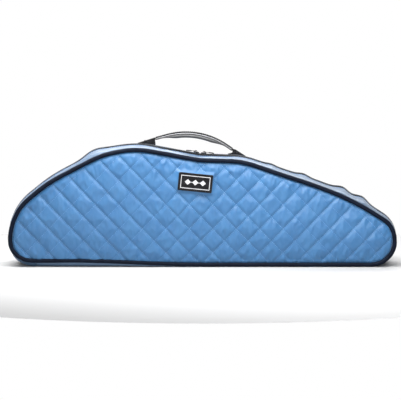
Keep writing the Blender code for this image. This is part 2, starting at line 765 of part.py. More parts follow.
def window_plate(outline, window, thick):
    """Flat plate with one window, both given as x, y corners."""
    mesh = bmesh.new()
    half = thick / 2.0
    rims = {}
    for z in (-half, half):
        outer = [mesh.verts.new((x, y, z)) for x, y in outline]
        inner = [mesh.verts.new((x, y, z)) for x, y in window]
        edges = []
        for ring in (outer, inner):
            edges += [mesh.edges.new((ring[i], ring[(i + 1) % len(ring)])) for i in range(len(ring))]
        bmesh.ops.triangle_fill(mesh, edges=edges, use_beauty=True)
        rims[z] = (outer, inner)
    for low, high in zip(rims[-half], rims[half]):
        for i in range(len(low)):
            j = (i + 1) % len(low)
            mesh.faces.new((low[i], low[j], high[j], high[i]))
    return mesh


def zip_stop(name, point, away):
    """Moulded end stop at one end of the zip; away is the walk's sign there."""
    x, z = offset_point(point, GUSSET_BULGE * bulge_share(point[2]))
    nx, nz = normal_of(point[2])
    tx, tz = -nz * away, nx * away
    (near, far), (low, high) = STOP_LENGTH, STOP_HEIGHT
    corners = [(near, low), (far, low), (far, high), (near, high)]
    profile = [(x + tx * a + nx * b, z + tz * a + nz * b) for a, b in corners]
    mesh = prism_mesh(profile, *STOP_WIDTH)
    finish_object(name, mesh, look("zip_metal"))


def main():
    clear_scene()
    build_half(-1.0, "front", FRONT_CROWN_Y)
    build_half(1.0, "back", BACK_CROWN_Y)
    label_pieces()
    handle_pieces()
    handle_feet()
    build_slider("left", -1.0)
    build_slider("right", 1.0)
    zip_stop("zip_stop_right", zip_stations()[0], -1.0)
    zip_stop("zip_stop_left", zip_stations()[-1], 1.0)


main()
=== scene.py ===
"""Looks of the padded gig bag: quilted nylon, piping, zip, handle and label."""

import json
import math

import bmesh
import bpy
import numpy as np
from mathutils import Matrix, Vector, noise
from mathutils.kdtree import KDTree


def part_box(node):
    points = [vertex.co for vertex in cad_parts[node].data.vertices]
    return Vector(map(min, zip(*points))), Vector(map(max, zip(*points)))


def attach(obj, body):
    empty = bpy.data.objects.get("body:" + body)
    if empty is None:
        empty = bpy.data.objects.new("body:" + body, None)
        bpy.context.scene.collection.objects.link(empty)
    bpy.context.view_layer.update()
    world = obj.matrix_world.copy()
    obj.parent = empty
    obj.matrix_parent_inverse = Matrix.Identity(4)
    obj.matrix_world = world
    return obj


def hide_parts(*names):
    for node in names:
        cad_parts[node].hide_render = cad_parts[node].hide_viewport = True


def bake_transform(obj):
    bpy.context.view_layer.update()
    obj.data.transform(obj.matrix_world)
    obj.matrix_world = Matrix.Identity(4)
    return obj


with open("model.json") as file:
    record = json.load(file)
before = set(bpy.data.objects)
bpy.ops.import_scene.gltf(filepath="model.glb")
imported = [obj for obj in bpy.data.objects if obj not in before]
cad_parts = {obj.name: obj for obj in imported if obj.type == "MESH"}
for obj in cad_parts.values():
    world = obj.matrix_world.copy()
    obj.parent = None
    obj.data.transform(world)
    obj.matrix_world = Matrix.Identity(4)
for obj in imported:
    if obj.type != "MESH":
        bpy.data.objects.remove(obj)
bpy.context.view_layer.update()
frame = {"nodes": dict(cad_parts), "record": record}

MM = 0.001
BACK, FRONT = "bag_back", "bag_front"
HALVES = ((-1.0, "front", FRONT), (1.0, "back", BACK))

# ---- sizes in mm ----
HUB = (0.0, 100.0)          # the outline goes round this point
RIM_Y = 65.0                # the CAD panel's rim, and how far it lies inside the outline
RIM_INSET = 9.3
STATION_STEP = 2.0
PIPING_RADIUS = 4.5
ZIP_OUT = 6.0
GUSSET_DIP = 1.5
ZIP_DIP = 2.0
SADDLE_DIP = 1.4
BULGE_TURN = 45.0
ZIP_SHARE = 0.85
SEAM_Y = 62.0
GUSSET_EDGE_Y = 61.5
TAPE_Y = 15.5
OPEN_GAP = 0.15

# Soft humps of the zip line along the top: x, height and half width in mm.
HUMPS = ((-216.0, 7.0, 25.0), (137.0, 2.0, 11.0), (202.0, 3.8, 13.0), (279.0, 6.8, 15.0),
         (318.0, 7.0, 15.0))

# ---- quilting ----
QUILT_TILT = 46.0
QUILT_CELL = 33.5
QUILT_ORIGIN, BACK_QUILT_ORIGIN = (-26.3, -20.0), (11.0, -12.0)
PANEL_SEEDS = {"front": 3.0, "back": 8.0}
QUILT_STEPS = 15


JOINTS = {joint["name"]: joint for joint in frame["record"]["behaviour"]["joints"]}


# ==== outline ====
def unit(angle):
    return math.cos(math.radians(angle)), math.sin(math.radians(angle))


def rounded(angle, power):
    """A point of the unit circle, squared up by a power below 1."""
    return tuple(math.copysign(abs(part) ** power, part) for part in unit(angle))


def frame_points(name):
    """Each corner of a CAD node once, in mm."""
    corners = [v.co for v in frame["nodes"][name].data.vertices]
    return np.unique(np.round(np.array(corners) / MM, 2), axis=0)


def outline_knots():
    """The CAD's own stations: x, z and normal angle, anticlockwise from the lower right."""
    rim = np.array([(x, z) for x, y, z in frame_points("front_panel") if abs(y + RIM_Y) < 0.05])
    turn = np.degrees(np.arctan2(rim[:, 1] - HUB[1], rim[:, 0] - HUB[0]))
    rim = rim[np.argsort(np.where(turn < -90.0, turn + 360.0, turn))]
    along = np.roll(rim, -1, 0) - np.roll(rim, 1, 0)
    guess = np.stack([along[:, 1], -along[:, 0]], 1)
    guess /= np.hypot(*guess.T)[:, None]
    cord = frame_points("front_piping")[:, (0, 2)]
    knots = []
    for point, out in zip(rim, guess):
        aim = point + RIM_INSET * out
        edge = cord[np.argmin(np.hypot(*(cord - aim).T))]
        angle = math.degrees(math.atan2(edge[1] - point[1], edge[0] - point[0]))
        if knots and angle < knots[-1][2] - 180.0:
            angle += 360.0
        knots.append((edge[0], edge[1], angle))
    return knots


def dense_outline():
    """Arrays of x, z and normal angle, a station every few millimetres, all round."""
    knots = outline_knots()
    table = []
    for here, there in zip(knots, knots[1:] + [(*knots[0][:2], knots[-1][2])]):
        start, end = np.array(here[:2]), np.array(there[:2])
        chord = float(np.hypot(*(end - start)))
        bend = math.radians(there[2] - here[2])
        reach = chord
        if abs(bend) > 1e-3:
            reach = 2.0 * chord * math.tan(bend / 4.0) / math.sin(bend / 2.0)
        leave = reach * np.array(unit(here[2] + 90.0))
        arrive = reach * np.array(unit(there[2] + 90.0))
        count = max(1, round(chord / STATION_STEP))
        for i in range(count):
            t = i / count
            spot = ((2 * t ** 3 - 3 * t ** 2 + 1) * start + (t ** 3 - 2 * t ** 2 + t) * leave
                    + (3 * t ** 2 - 2 * t ** 3) * end + (t ** 3 - t ** 2) * arrive)
            table.append((*spot, here[2] + (there[2] - here[2]) * t))
    return np.array(table), knots


OUTLINE, KNOTS = dense_outline()
NORMALS = np.stack([np.cos(np.radians(OUTLINE[:, 2])), np.sin(np.radians(OUTLINE[:, 2]))], 1)
BASE_RIGHT, BASE_LEFT = KNOTS[0][0], KNOTS[-1][0]


def smooth(value, low, high):
    t = np.clip((value - low) / (high - low), 0.0, 1.0)
    return t * t * (3.0 - 2.0 * t)


def bulge_share(angle):
    turn = np.minimum(angle + 90.0, 270.0 - angle)
    return smooth(turn, 0.0, BULGE_TURN)


def hump_height(x, nz):
    total = np.zeros_like(x)
    for centre, height, width in HUMPS:
        total += height * np.exp(-((x - centre) / width) ** 2)
    return total * smooth(nz, 0.1, 0.5)


def lift_of(x):
    """How far the front bottom seam rides above the floor, mm."""
    return 0.4 + 8.0 * smooth(-x, 0.0, 270.0) * (1.0 - 0.45 * smooth(-x, 330.0, 390.0))


def ring_noise(seed, scale, amount):
    """A smooth random value at each station, the same round the closed ring."""
    values = [noise.noise(Vector((x * scale, z * scale, seed))) for x, z in OUTLINE[:, :2]]
    return amount * np.array(values)


# ==== materials ====
WAVE_PERIOD = 0.314         # how far apart the bands of a wave texture of scale 1 lie


def new_material(name, colour, roughness, metallic=0.0, sheen=0.0, gloss=0.5):
    made = bpy.data.materials.new(name)
    made.use_nodes = True
    settings = {"Base Color": (*colour, 1.0), "Roughness": roughness, "Metallic": metallic,
                "Sheen Weight": sheen, "Sheen Roughness": 0.4, "Specular IOR Level": gloss}
    for socket, value in settings.items():
        made.node_tree.nodes["Principled BSDF"].inputs[socket].default_value = value
    return made


def node(made, kind, inputs=None, **settings):
    """A new node in a material's or a world's tree, with input values and other settings."""
    found = made.node_tree.nodes.new(kind)
    for key, value in (inputs or {}).items():
        found.inputs[key].default_value = value
    for key, value in settings.items():
        setattr(found, key, value)
    return found


def link(made, a, out, b, into):
    made.node_tree.links.new(a.outputs[out], b.inputs[into])


def two_stop_ramp(made, start, first, end, last):
    ramp = node(made, "ShaderNodeValToRGB")
    low, high = ramp.color_ramp.elements
    low.position, low.color = start, (*first, 1.0)
    high.position, high.color = end, (*last, 1.0)
    return ramp


def vary_colour(made, colour, other, scale):
    """Mixes two close colours by object-space noise."""
    shader = made.node_tree.nodes["Principled BSDF"]
    coords = node(made, "ShaderNodeTexCoord")
    clouds = node(made, "ShaderNodeTexNoise", {"Scale": scale, "Detail": 4.0})
    ramp = two_stop_ramp(made, 0.35, colour, 0.65, other)
    link(made, coords, "Object", clouds, "Vector")
    link(made, clouds, "Fac", ramp, "Fac")
    link(made, ramp, "Color", shader, "Base Color")
    return coords


def add_bump(made, source, output, strength, distance_mm):
    """Raises the surface by a texture node's output."""
    bump = node(made, "ShaderNodeBump", {"Strength": strength, "Distance": distance_mm * MM})
    link(made, source, output, bump, "Height")
    link(made, bump, "Normal", made.node_tree.nodes["Principled BSDF"], "Normal")


def weave_bump(made, coords, thread_mm, strength):
    """Crossed fine waves that stand for the woven threads."""
    total = node(made, "ShaderNodeMath", operation="ADD")
    for input_index, axis in enumerate(("X", "Z")):
        waves = {"Scale": WAVE_PERIOD / (thread_mm * MM), "Distortion": 0.6, "Detail Scale": 2.0}
        wave = node(made, "ShaderNodeTexWave", waves, bands_direction=axis)
        link(made, coords, "Object", wave, "Vector")
        link(made, wave, "Fac", total, input_index)
    add_bump(made, total, "Value", strength, 0.2)


def fabric(name, colour, other, roughness, thread_mm, strength, sheen, scale, gloss):
    made = new_material(name, colour, roughness, sheen=sheen, gloss=gloss)
    coords = vary_colour(made, colour, other, scale)
    weave_bump(made, coords, thread_mm, strength)
    return made


def leather(name, colour, other, roughness):
    """Finely grained skin or moulded plastic."""
    made = new_material(name, colour, roughness, sheen=0.05)
    coords = vary_colour(made, colour, other, 45.0)
    grain = node(made, "ShaderNodeTexVoronoi", {"Scale": 900.0})
    link(made, coords, "Object", grain, "Vector")
    add_bump(made, grain, "Distance", 0.25, 0.3)
    return made


def worn_metal(name, colour, roughness):
    made = new_material(name, colour, roughness, metallic=1.0)
    coords = vary_colour(made, colour, tuple(c * 1.5 for c in colour), 180.0)
    scratch = node(made, "ShaderNodeTexNoise", {"Scale": 1400.0})
    link(made, coords, "Object", scratch, "Vector")
    add_bump(made, scratch, "Fac", 0.1, 0.1)
    return made


# Woven materials: name, two close colours, roughness, thread width in mm, strength of the
# weave, sheen, scale of the colour's clouds, and gloss.
WOVEN = {
    "quilt": ("quilted_nylon", (0.026, 0.130, 0.305), (0.033, 0.148, 0.330),
              0.36, 0.7, 0.3, 0.9, 30.0, 0.5),
    "nylon": ("plain_nylon", (0.052, 0.100, 0.175), (0.062, 0.114, 0.190),
              0.38, 0.7, 0.3, 0.1, 30.0, 0.5),
    "piping": ("piping", (0.0015, 0.0035, 0.011), (0.003, 0.007, 0.018),
               0.5, 0.9, 0.5, 0.0, 60.0, 0.1),
    "lining": ("lining", (0.055, 0.06, 0.07), (0.075, 0.08, 0.09), 0.8, 1.0, 0.4, 0.3, 30.0, 0.5),
    "tape": ("zip_tape", (0.006, 0.006, 0.007), (0.012, 0.012, 0.013),
             0.8, 0.8, 0.6, 0.05, 90.0, 0.12),
    "webbing": ("webbing", (0.008, 0.008, 0.009), (0.016, 0.016, 0.017),
                0.7, 1.3, 0.8, 0.08, 90.0, 0.12),
    "foot": ("foot_fabric", (0.006, 0.006, 0.007), (0.016, 0.016, 0.018),
             0.75, 1.0, 0.8, 0.06, 90.0, 0.12),
    "edge": ("handle_edge", (0.34, 0.34, 0.35), (0.42, 0.42, 0.43), 0.4, 0.8, 0.3, 0.1, 60.0, 0.5),
    "label": ("label_weave", (0.006, 0.006, 0.007), (0.014, 0.014, 0.016),
              0.5, 0.6, 0.6, 0.06, 90.0, 0.12),
    "mark": ("label_thread", (0.55, 0.55, 0.58), (0.68, 0.68, 0.7), 0.5, 0.5, 0.4, 0.2, 120.0, 0.5),
    "thread": ("blue_thread", (0.09, 0.26, 0.58), (0.12, 0.31, 0.64), 0.4, 0.3, 0.3, 0.2, 200.0, 0.5),
    # Painted highlight: a lighter copy of the blue thread for the deep seams, standing in for the light
    # their edges catch.
    "seam_thread_painted_highlight": ("seam_thread_painted_highlight", (0.17, 0.37, 0.66), (0.21, 0.42, 0.71),
                    0.4, 0.3, 0.3, 0.2, 200.0, 0.5),
    "dark_thread": ("dark_thread", (0.012, 0.012, 0.014), (0.02, 0.02, 0.024),
                    0.6, 0.3, 0.3, 0.1, 200.0, 0.12),
}
MATERIALS = {look: fabric(*values) for look, values in WOVEN.items()}
MATERIALS["grip"] = leather("grip_leather", (0.065, 0.065, 0.066), (0.085, 0.085, 0.086), 0.34)
MATERIALS["metal"] = worn_metal("zip_metal", (0.035, 0.035, 0.038), 0.42)
MATERIALS["coil"] = leather("zip_coil", (0.012, 0.012, 0.014), (0.02, 0.02, 0.022), 0.35)
MATERIALS["rubber"] = leather("pull_rubber", (0.008, 0.008, 0.009), (0.014, 0.014, 0.015), 0.7)


# ==== mesh helpers ====
def mesh_object(name, verts_mm, faces, look):
    mesh = bpy.data.meshes.new(name)
    mesh.from_pydata([tuple(float(c) * MM for c in v) for v in verts_mm], [], faces)
    mesh.update()
    mesh.shade_smooth()
    mesh.materials.append(MATERIALS[look])
    obj = bpy.data.objects.new(name, mesh)
    bpy.context.collection.objects.link(obj)
    return obj


def fix_normals(obj):
    builder = bmesh.new()
    builder.from_mesh(obj.data)
    bmesh.ops.recalc_face_normals(builder, faces=builder.faces)
    builder.to_mesh(obj.data)
    builder.free()
    return obj


def grid_faces(rows, columns, wrap_rows=False, wrap_columns=False):
    """Quads of a rows x columns table of vertices, row after row."""
    faces = []
    for r in range(rows if wrap_rows else rows - 1):
        for c in range(columns if wrap_columns else columns - 1):
            r1, c1 = (r + 1) % rows, (c + 1) % columns
            faces.append((r * columns + c, r * columns + c1, r1 * columns + c1, r1 * columns + c))
    return faces


def lofted(rings, sides):
    """Faces of a closed skin over rings of as many points each, with a cap on either end."""
    last = rings * sides
    caps = [tuple(range(sides)), tuple(reversed(range(last - sides, last)))]
    return grid_faces(rings, sides, wrap_columns=True) + caps


def apply_modifiers(obj):
    graph = bpy.context.evaluated_depsgraph_get()
    mesh = bpy.data.meshes.new_from_object(obj.evaluated_get(graph))
    old = obj.data
    obj.modifiers.clear()
    obj.data = mesh
    bpy.data.meshes.remove(old)
    return obj


def thicken(obj, thickness_mm, offset=-1.0):
    shell = obj.modifiers.new("thickness", "SOLIDIFY")
    shell.thickness = thickness_mm * MM
    shell.offset = offset
    return apply_modifiers(obj)


def place(obj, body, slot, *nodes):
    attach(obj, body)
    if nodes:
        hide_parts(*nodes)
    return obj


def arc_lengths(points):
    gaps = np.linalg.norm(np.diff(points, axis=0), axis=1)
    return np.concatenate([[0.0], np.cumsum(gaps)])


def point_at(at, along, points):
    return np.array([np.interp(at, along, points[:, axis]) for axis in range(3)])


def stitch_mesh(name, runs, look, radius_mm=0.32, length_mm=3.0, pitch_mm=3.9):
    """Small thread grains along each run of (point, outward normal) in mm."""
    verts, faces = [], []
    for run in runs:
        points = np.array([p for p, _ in run], float)
        outs = np.array([n for _, n in run], float)
        along = arc_lengths(points)
        at = pitch_mm / 2.0
        while at + length_mm / 2.0 < along[-1]:
            ends = [point_at(at + d, along, points) for d in (-length_mm / 2.0, 0.0, length_mm / 2.0)]
            out = point_at(at, along, outs)
            out /= np.linalg.norm(out) + 1e-9
            run_dir = ends[2] - ends[0]
            run_dir /= np.linalg.norm(run_dir) + 1e-9
            side = np.cross(run_dir, out)
            first = len(verts)
            verts.append(ends[0] - out * radius_mm * 0.6)
            middle = ends[1] + out * radius_mm * 0.4
            verts += [middle + out * radius_mm, middle + side * radius_mm,
                      middle - out * radius_mm, middle - side * radius_mm]
            verts.append(ends[2] - out * radius_mm * 0.6)
            for k in range(4):
                a, b = first + 1 + k, first + 1 + (k + 1) % 4
                faces += [(first, b, a), (first + 5, a, b)]
            at += pitch_mm
    return mesh_object(name, verts, faces, look)


# ==== shape helpers ====
def soften(name, node_name, look, bevel_mm, lumps_mm=0.0):
    """A CAD node's shape with rounded edges and slight lumps."""
    mesh = frame["nodes"][node_name].data.copy()
    mesh.materials.clear()
    mesh.materials.append(MATERIALS[look])
    obj = bpy.data.objects.new(name, mesh)
    bpy.context.collection.objects.link(obj)
    builder = bmesh.new()
    builder.from_mesh(mesh)
    bmesh.ops.remove_doubles(builder, verts=builder.verts, dist=1e-5)
    bmesh.ops.dissolve_limit(builder, angle_limit=math.radians(3.0), verts=builder.verts,
                             edges=builder.edges)
    builder.to_mesh(mesh)
    builder.free()
    edge = obj.modifiers.new("edge", "BEVEL")
    edge.width = bevel_mm * MM
    edge.segments = 3
    edge.limit_method = "ANGLE"
    apply_modifiers(obj)
    if lumps_mm:
        for vertex in obj.data.vertices:
            vertex.co += vertex.normal * lumps_mm * MM * noise.noise(vertex.co * 160.0)
    obj.data.shade_smooth()
    obj.data.set_sharp_from_angle(angle=math.radians(40.0))
    return obj


def sweep(name, rings, look, closed=False):
    """Closed skin over rings of points in mm, with fan caps unless it joins up."""
    sides = len(rings[0])
    verts = [p for ring in rings for p in ring]
    faces = grid_faces(len(rings), sides, True, True) if closed else lofted(len(rings), sides)
    return fix_normals(mesh_object(name, verts, faces, look))


def join_meshes(name, pieces, look):
    """Many small (verts, faces) in one mesh."""
    verts, faces = [], []
    for part_verts, part_faces in pieces:
        first = len(verts)
        verts += part_verts
        faces += [tuple(k + first for k in face) for face in part_faces]
    return fix_normals(mesh_object(name, verts, faces, look))


# ==== quilted panels ====
def inset_loop(inset):
    return OUTLINE[:, :2] - NORMALS * inset


def inside_loop(points, loop):
    """Even-odd test of many points against a closed loop."""
    x, z = points[:, 0][:, None], points[:, 1][:, None]
    x0, z0 = loop[:, 0][None], loop[:, 1][None]
    x1, z1 = np.roll(loop[:, 0], -1)[None], np.roll(loop[:, 1], -1)[None]
    crosses = (z0 > z) != (z1 > z)
    with np.errstate(divide="ignore", invalid="ignore"):
        at = x0 + (z - z0) * (x1 - x0) / (z1 - z0)
    return (np.sum(crosses & (x < at), axis=1) % 2) == 1


def loop_tree(loop):
    tree = KDTree(len(loop))
    for i, (x, z) in enumerate(loop):
        tree.insert((x, 0.0, z), i)
    tree.balance()
    return tree


EDGE_TREE = loop_tree(OUTLINE[:, :2])
PANEL_EDGE_INSET = 8.4
PANEL_EDGE_Y = 63.0
PANEL_CROWN = 8.2
CROWN_REACH = 30.0
PANEL_BACK_Y = 59.6
PUFF = 1.0
SEAM_DEPTH = 2.4
SEAM_WIDTH = 3.0
CREASE = 1.9
EDGE_FADE = 10.0
PUFF_CAP = 1.3
TIGHT_SEAM = 0.6
CLOTH_FRAMES = 16
CLOTH_STIFFNESS = 8.0
CLOTH_PRESSURE = 2.0
CLOTH_GROWTH = 0.05


def label_axes():
    """Centre, length direction and size of the label, in mm, from its CAD node."""
    points = frame_points("label_patch")
    corners = points[points[:, 1] < points[:, 1].min() + 0.2][:, (0, 2)]
    left = corners[np.argsort(corners[:, 0])[:2]]
    right = corners[np.argsort(corners[:, 0])[2:]]
    run = right.mean(0) - left.mean(0)
    length = float(np.hypot(*run))
    height = float(np.hypot(*(left[0] - left[1])))
    return corners.mean(0), run / length, (length, height)


LABEL_AT, LABEL_RUN, LABEL_SIZE = label_axes()
LABEL_BED_Y = 72.0
LABEL_FACE_Y = 74.35
LABEL_CORNER = 2.2
LABEL_SEAM = 1.5


def label_mask(x, z):
    """1 under the label, fading to 0 just outside it."""
    step = np.array((x, z)) - LABEL_AT
    along = abs(step @ LABEL_RUN) - LABEL_SIZE[0] / 2.0
    across = abs(step @ np.array((-LABEL_RUN[1], LABEL_RUN[0]))) - LABEL_SIZE[1] / 2.0
    return 1.0 - float(smooth(max(along, across), -2.0, 6.0))


def soft_field(x, z, seed):
    """Low swells of the padded face, mm."""
    wide = noise.noise(Vector((x / 150.0, seed, z / 110.0)))
    narrow = noise.noise(Vector((x / 60.0, seed + 7.0, z / 55.0)))
    return 4.0 * wide + 1.8 * narrow


def edge_distance(x, z):
    return EDGE_TREE.find((x, 0.0, z))[2]


def panel_depth(x, z, seed):
    """Distance of the panel's face from the middle plane without its quilting, mm."""
    inner = max(0.0, edge_distance(x, z) - PANEL_EDGE_INSET)
    crown = 1.0 - math.exp(-inner / CROWN_REACH)
    return PANEL_EDGE_Y + PANEL_CROWN * crown + soft_field(x, z, seed) * crown


def quilt_grid(origin):
    """Grid points along the stitch directions inside the panel's edge."""
    down, up = unit(-QUILT_TILT), unit(QUILT_TILT)
    step = QUILT_CELL / QUILT_STEPS
    reach_i = range(int(-500 / step), int(500 / step))
    reach_j = range(int(-300 / step), int(520 / step))
    index = np.array([(i, j) for i in reach_i for j in reach_j])
    flat = np.array(origin) + index[:, :1] * step * np.array([down]) \
        + index[:, 1:] * step * np.array([up])
    low, high = OUTLINE[:, :2].min(0), OUTLINE[:, :2].max(0)
    near = np.all((flat > low) & (flat < high), axis=1)
    index, flat = index[near], flat[near]
    loop = inset_loop(PANEL_EDGE_INSET)[::2]
    inside = np.concatenate([inside_loop(part, loop) for part in np.array_split(flat, 40)])
    index, flat = index[inside], flat[inside]
    lookup = {(int(i), int(j)): k for k, (i, j) in enumerate(index)}
    faces = []
    for (i, j), k in lookup.items():
        around = [lookup.get(key) for key in ((i + 1, j), (i + 1, j + 1), (i, j + 1))]
        if None not in around:
            faces.append((k, *around))
    used = sorted({k for face in faces for k in face})
    renumber = {k: n for n, k in enumerate(used)}
    faces = [tuple(renumber[k] for k in face) for face in faces]
    return index[used], flat[used], faces


def open_edges(faces):
    """Directed edges that belong to one face only."""
    edges = {(a, b) for face in faces for a, b in zip(face, face[1:] + face[:1])}
    return [(a, b) for a, b in edges if (b, a) not in edges]


def shell_faces(faces, count):
    """A skin of count vertices, its copy behind it, and the rim between them."""
    back = [tuple(k + count for k in face[::-1]) for face in faces]
    rim = [(b, a, a + count, b + count) for a, b in open_edges(faces)]
    return list(faces) + back + rim


def simulate(obj, pins):
    """Cloth held at its pins swells and puckers; the result is applied."""
    group = obj.vertex_groups.new(name="pins")
    group.add([int(k) for k in pins], 1.0, "REPLACE")
    modifier = obj.modifiers.new("cloth", "CLOTH")
    cloth = modifier.settings
    settings = {"quality": 6, "mass": 0.15, "tension_stiffness": CLOTH_STIFFNESS,
                "compression_stiffness": CLOTH_STIFFNESS, "shear_stiffness": CLOTH_STIFFNESS / 2.0,
                "bending_stiffness": 0.3, "vertex_group_mass": "pins", "pin_stiffness": 1.0,
                "shrink_min": -CLOTH_GROWTH, "use_pressure": True,
                "uniform_pressure_force": CLOTH_PRESSURE}
    for key, value in settings.items():
        setattr(cloth, key, value)
    cloth.effector_weights.gravity = 0.0
    modifier.collision_settings.use_collision = False
    modifier.collision_settings.use_self_collision = False
    modifier.point_cache.frame_start = 1
    modifier.point_cache.frame_end = CLOTH_FRAMES
    for at in range(1, CLOTH_FRAMES + 1):
        bpy.context.scene.frame_set(at)
    apply_modifiers(obj)
    bpy.context.scene.frame_set(1)


def puckers(x, z, seed):
    """Short upright creases in the fabric, -1 to 1."""
    fine = 0.3 - abs(noise.noise(Vector((x / 7.5, seed, z / 19.0))))
    broad = 0.3 - abs(noise.noise(Vector((x / 19.0, seed + 3.0, z / 32.0))))
    return 0.9 * fine + 1.1 * broad


def seam_weights(x):
    """How deep the rising and the falling seam lines are at this x, 0 to 1."""
    rising = 0.12 + 0.88 * float(smooth(x, -170.0, 40.0))
    falling = 1.0 - 0.6 * float(smooth(x, 60.0, 230.0))
    return rising, falling


def quilt_relief(x, z, phase, seed):
    """How far the quilted fabric stands off the padded face, mm."""
    shares = [np.sin(np.pi * step / QUILT_STEPS) for step in phase]
    near = [min(step, QUILT_STEPS - step) * QUILT_CELL / QUILT_STEPS for step in phase]
    rising, falling = seam_weights(x)
    groove = 1.0 - ((1.0 - rising * math.exp(-(near[0] / SEAM_WIDTH) ** 0.85))
                    * (1.0 - falling * math.exp(-(near[1] / SEAM_WIDTH) ** 0.85)))
    pull = 0.35 + 0.65 * min(1.0, (near[0] + near[1]) / 9.0)
    fade = float(smooth(edge_distance(x, z) - PANEL_EDGE_INSET, 0.0, EDGE_FADE))
    gather = 1.0 + 0.9 * (1.0 - float(smooth(edge_distance(x, z), 12.0, 45.0)))
    return fade * (PUFF * max(0.0, shares[0] * shares[1]) ** 0.5 - SEAM_DEPTH * groove
                   + CREASE * gather * pull * puckers(x, z, seed))


def quilt_surface(seed, side, origin):
    """One quilted face: grid index, vertices in mm and outward faces."""
    index, flat, faces = quilt_grid(origin)
    edges = open_edges(faces)
    border = {k for edge in edges for k in edge}
    loop = inset_loop(PANEL_EDGE_INSET)
    tree = loop_tree(loop)
    for k in border:
        flat[k] = loop[tree.find((flat[k, 0], 0.0, flat[k, 1]))[1]]
    phase = index % QUILT_STEPS
    depth = np.array([panel_depth(x, z, seed) + quilt_relief(x, z, step, seed)
                      for (x, z), step in zip(flat, phase)])
    if side < 0:
        mask = np.array([label_mask(x, z) for x, z in flat])
        depth += (LABEL_BED_Y - depth) * mask
    verts = np.stack([flat[:, 0], side * depth, flat[:, 1]], 1)
    if side > 0:
        faces = [face[::-1] for face in faces]
    obj = mesh_object("quilt_sim", verts, faces, "quilt")
    on_seam = (phase == 0).any(axis=1)
    pins = set(np.nonzero(on_seam)[0]) | border
    if side < 0:
        pins |= set(np.nonzero(mask > 0.5)[0])
    simulate(obj, pins)
    shift = np.array([v.co for v in obj.data.vertices]) / MM - verts
    bpy.data.objects.remove(obj)
    length = np.linalg.norm(shift, axis=1)
    shift *= np.minimum(1.0, PUFF_CAP / np.maximum(length, 1e-9))[:, None]
    return index, verts + shift, faces


def seam_runs(index, verts, side, tight):
    """Stitch lines, tight or slack, as runs of (point, outward normal)."""
    lines = {}
    for k, (i, j) in enumerate(index):
        rising, falling = seam_weights(verts[k][0])
        if i % QUILT_STEPS == 0:
            lines.setdefault(("rising", i, rising > TIGHT_SEAM), []).append((j, k))
        if j % QUILT_STEPS == 0:
            lines.setdefault(("falling", j, falling > TIGHT_SEAM), []).append((i, k))
    runs = []
    for (_, _, wanted), members in lines.items():
        if wanted != tight:
            continue
        members.sort()
        run = []
        for n, (at, k) in enumerate(members):
            if n and at != members[n - 1][0] + 1:
                runs.append(run)
                run = []
            run.append((verts[k] + (0.0, side * 0.15, 0.0), (0.0, side, 0.0)))
        runs.append(run)
    return [run for run in runs if len(run) > 3]


def close_panel(name, verts, faces, side):
    """A flat inner face behind the given one, joined round the rim."""
    inner = verts.copy()
    inner[:, 1] = side * PANEL_BACK_Y
    return mesh_object(name, np.vstack([verts, inner]), shell_faces(faces, len(verts)), "quilt")


def build_panel(side, word, body, seed, origin):
    index, verts, faces = quilt_surface(seed, side, origin)
    panel = close_panel("quilted_panel_" + word, verts, faces, side)
    place(panel, body, "quilted_nylon", word + "_panel", word + "_foam")
    # Tight seams take the lighter thread, a painted highlight; slack seams take the plain blue thread.
    for kind, tight, look in (("tight", True, "seam_thread_painted_highlight"), ("slack", False, "thread")):
        runs = seam_runs(index, verts, side, tight)
        if side < 0:
            runs = [[(at, out) for at, out in run if label_mask(at[0], at[2]) < 0.6] for run in runs]
            runs = [run for run in runs if len(run) > 3]
        place(stitch_mesh("quilt_stitches_" + kind + "_" + word, runs, look, 0.36), body, "quilted_nylon")


# ==== piping ====
PIPING_HEM_INSET = 11.0


def piping_lift(x, z, side):
    low = max(0.0, 1.0 - z / 40.0)
    return low * float(lift_of(x)) * (1.0 if side < 0 else 0.3)


def build_piping(side, word, body, seed):
    """Bound cord round the panel's edge, a little uneven as sewn fabric is."""
    sides = 14
    wobble = ring_noise(seed, 0.02, 1.1)
    pucker = ring_noise(seed + 3.0, 0.16, 0.045)
    rings, hem = [], []
    for k, ((x, z, _), (nx, nz)) in enumerate(zip(OUTLINE, NORMALS)):
        lift = piping_lift(x, z, side)
        sway = wobble[k] * float(smooth(nz, -0.9, -0.3))
        ring = []
        for i in range(sides):
            a = 2.0 * math.pi * i / sides
            grow = 1.0 + pucker[k] - 0.1 * max(0.0, -math.cos(a)) ** 3
            out = PIPING_RADIUS * (grow * math.cos(a) - 1.0) + sway
            y = side * (64.0 + 3.6 * grow * math.sin(a) + 0.5 * wobble[k])
            ring.append((x + nx * out, y, max(0.0, z + nz * out) + lift))
        rings.append(ring)
        hem_x, hem_z = x - nx * PIPING_HEM_INSET, z - nz * PIPING_HEM_INSET
        hem.append(((hem_x, side * (panel_depth(hem_x, hem_z, seed) + 0.2), hem_z), (0.0, side, 0.0)))
    cord = sweep("piping_" + word, rings, "piping", closed=True)
    place(cord, body, "piping", word + "_piping")
    stitches = stitch_mesh("piping_stitches_" + word, [hem + hem[:1]], "dark_thread")
    place(stitches, body, "piping")


# ==== gusset, tongues, tape and teeth ====
STRIP = np.arange(0, int(np.nonzero(OUTLINE[:, 2] >= 269.9)[0][0]) + 1)
SHARE = bulge_share(OUTLINE[:, 2])
HUMP_AT = hump_height(OUTLINE[:, 0], NORMALS[:, 1])
ZIPPED = np.array([k for k in STRIP if SHARE[k] > ZIP_SHARE])


def zip_dip(x, y):
    """How far the front gusset sinks beside the zip, mm."""
    saddle = float(smooth(x, -130.0, -80.0) * (1.0 - smooth(x, 40.0, 90.0)))
    beside = float(smooth(-y, 5.0, TAPE_Y) * (1.0 - smooth(-y, 30.0, 56.0)))
    return (ZIP_DIP + SADDLE_DIP * saddle) * beside


